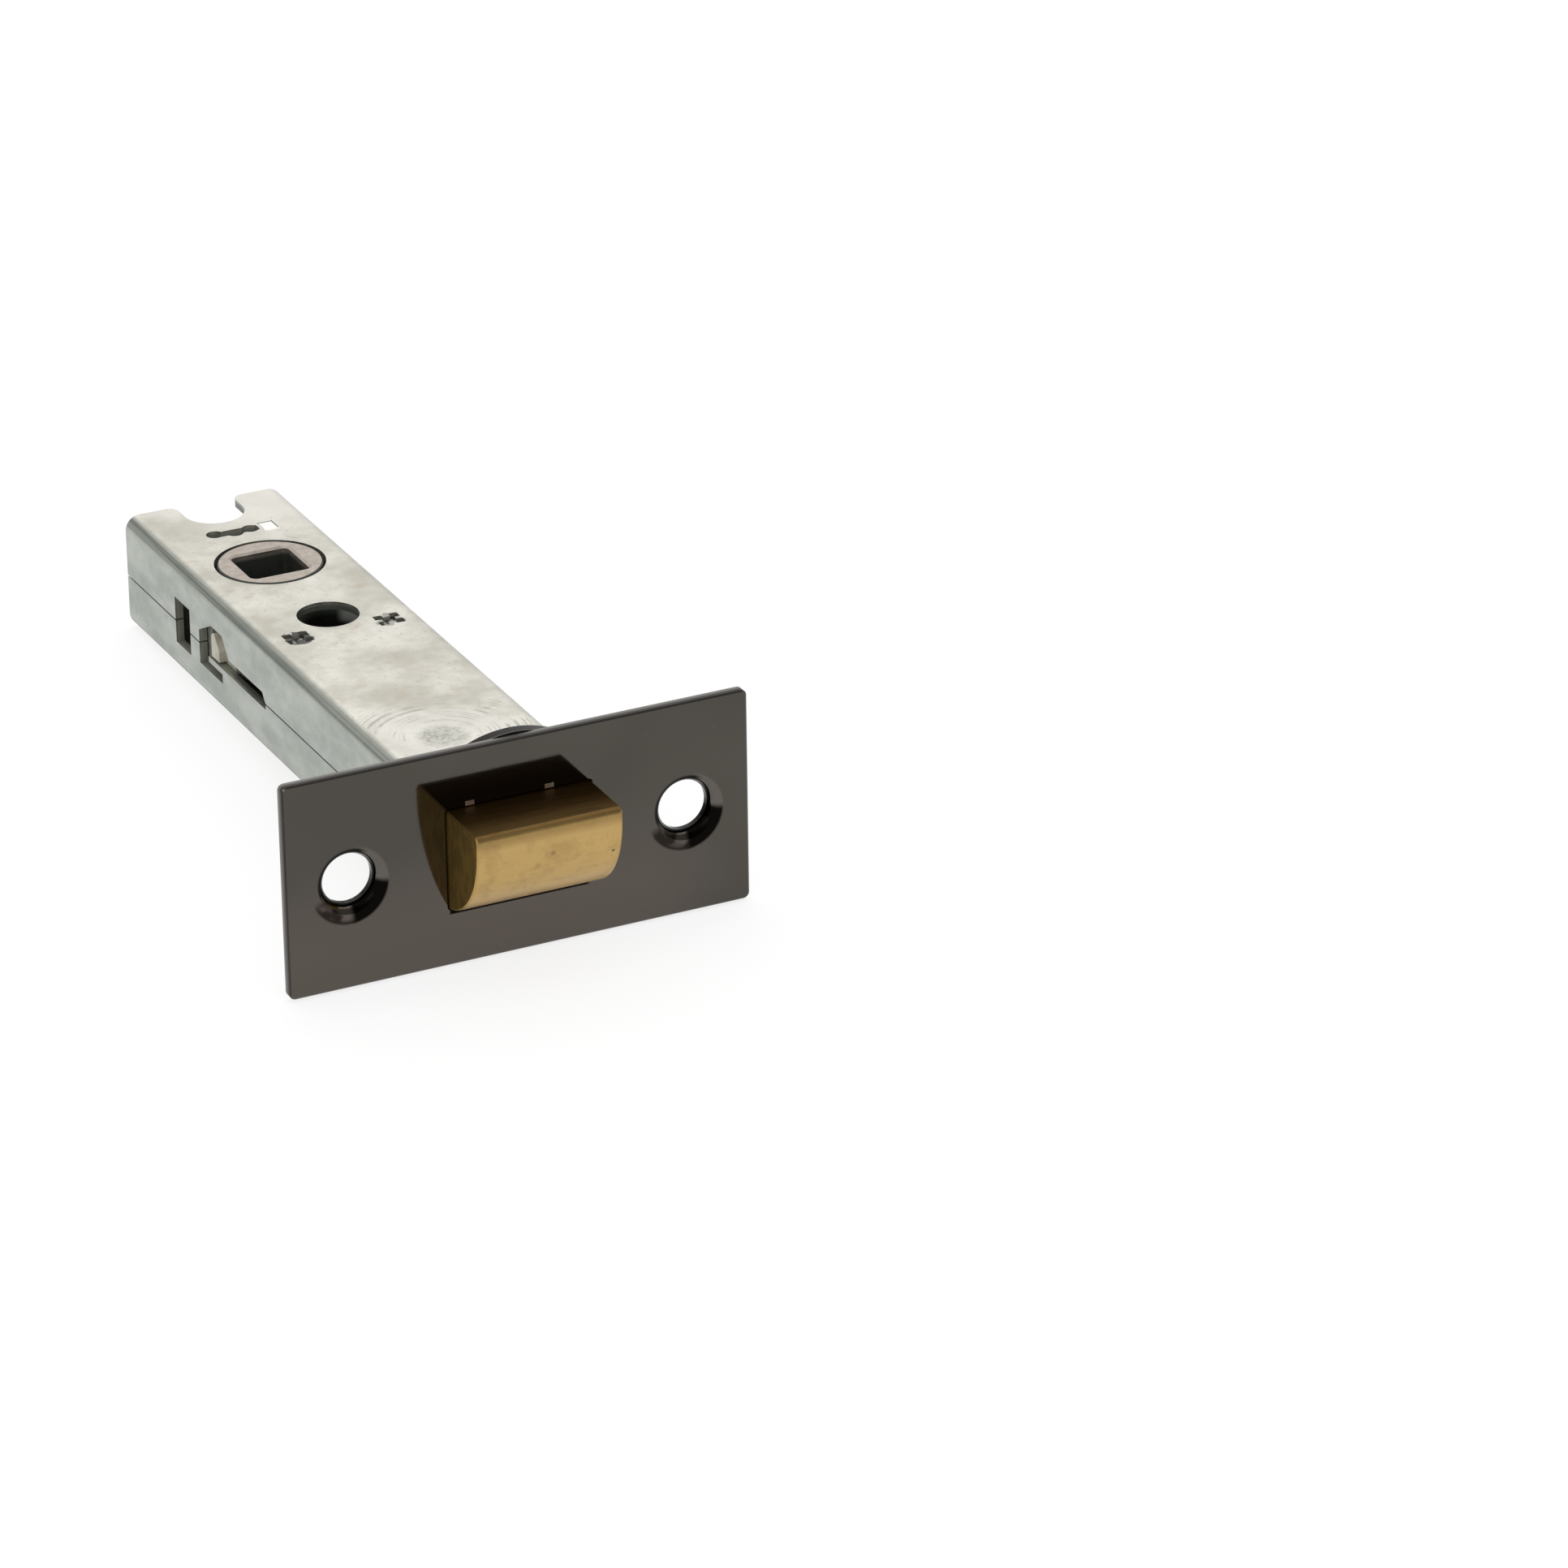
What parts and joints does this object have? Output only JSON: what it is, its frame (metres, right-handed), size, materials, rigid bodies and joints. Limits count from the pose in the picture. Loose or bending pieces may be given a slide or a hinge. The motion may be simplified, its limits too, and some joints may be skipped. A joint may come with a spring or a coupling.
{
  "type": "tubular door latch",
  "caption": "Tubular mortice door latch with a dark rectangular forend, a brass spring bolt and a slim zinc case.",
  "frame": {"origin": "centre of the forend's back face, on the axis of the bolt and midway between the screw holes", "axes": "X along the forend, +Y back along the case away from the bolt, +Z along the spindle axis"},
  "size_m": [0.062, 0.1093, 0.029],
  "materials": {
    "black_nickel": "polished",
    "zinc": "satin",
    "brass": "satin",
    "steel": "satin",
    "spring_steel": "satin",
    "nylon": "matte"
  },
  "bodies": {
    "case": {"forend": "black_nickel", "collar": "black_nickel", "case_upper": "zinc", "case_lower": "zinc", "spring_plate": "zinc", "rear_plate": "zinc", "post_tube": "steel", "bolt_spring": "spring_steel", "return_spring_left": "spring_steel", "return_spring_right": "spring_steel"},
    "follower": {"follower": "zinc"},
    "yoke": {"yoke": "steel"},
    "slide": {"return_slide": "nylon"},
    "bolt": {"latch_bolt": "brass", "bolt_pin": "steel"}
  },
  "joints": [
    {"name": "follower_turn", "type": "hinge", "parent": "case", "child": "follower", "pos_m": [0, 0.0761, 0], "axis": [0, 0, 1], "range_deg": [0, 64], "stiffness_Nm_per_rad": 0.4, "springref_deg": -22.92},
    {"name": "yoke_draw", "type": "slide", "parent": "case", "child": "yoke", "axis": [0, 1, 0], "range_m": [0, 0.00922]},
    {"name": "slide_press", "type": "slide", "parent": "case", "child": "slide", "axis": [0, -1, 0], "range_m": [0, 0.00355], "deforming": ["return_spring_left", "return_spring_right"]},
    {"name": "bolt_push", "type": "slide", "parent": "yoke", "child": "bolt", "axis": [0, 1, 0], "range_m": [0, 0.0092], "stiffness_N_per_m": 300, "springref_m": -0.012, "deforming": ["bolt_spring"]}
  ],
  "couplings": [
    {"joint": "follower_turn", "follows": "yoke_draw", "rad_per_m": 121.14},
    {"joint": "slide_press", "follows": "yoke_draw", "ratio": 0.385}
  ]
}
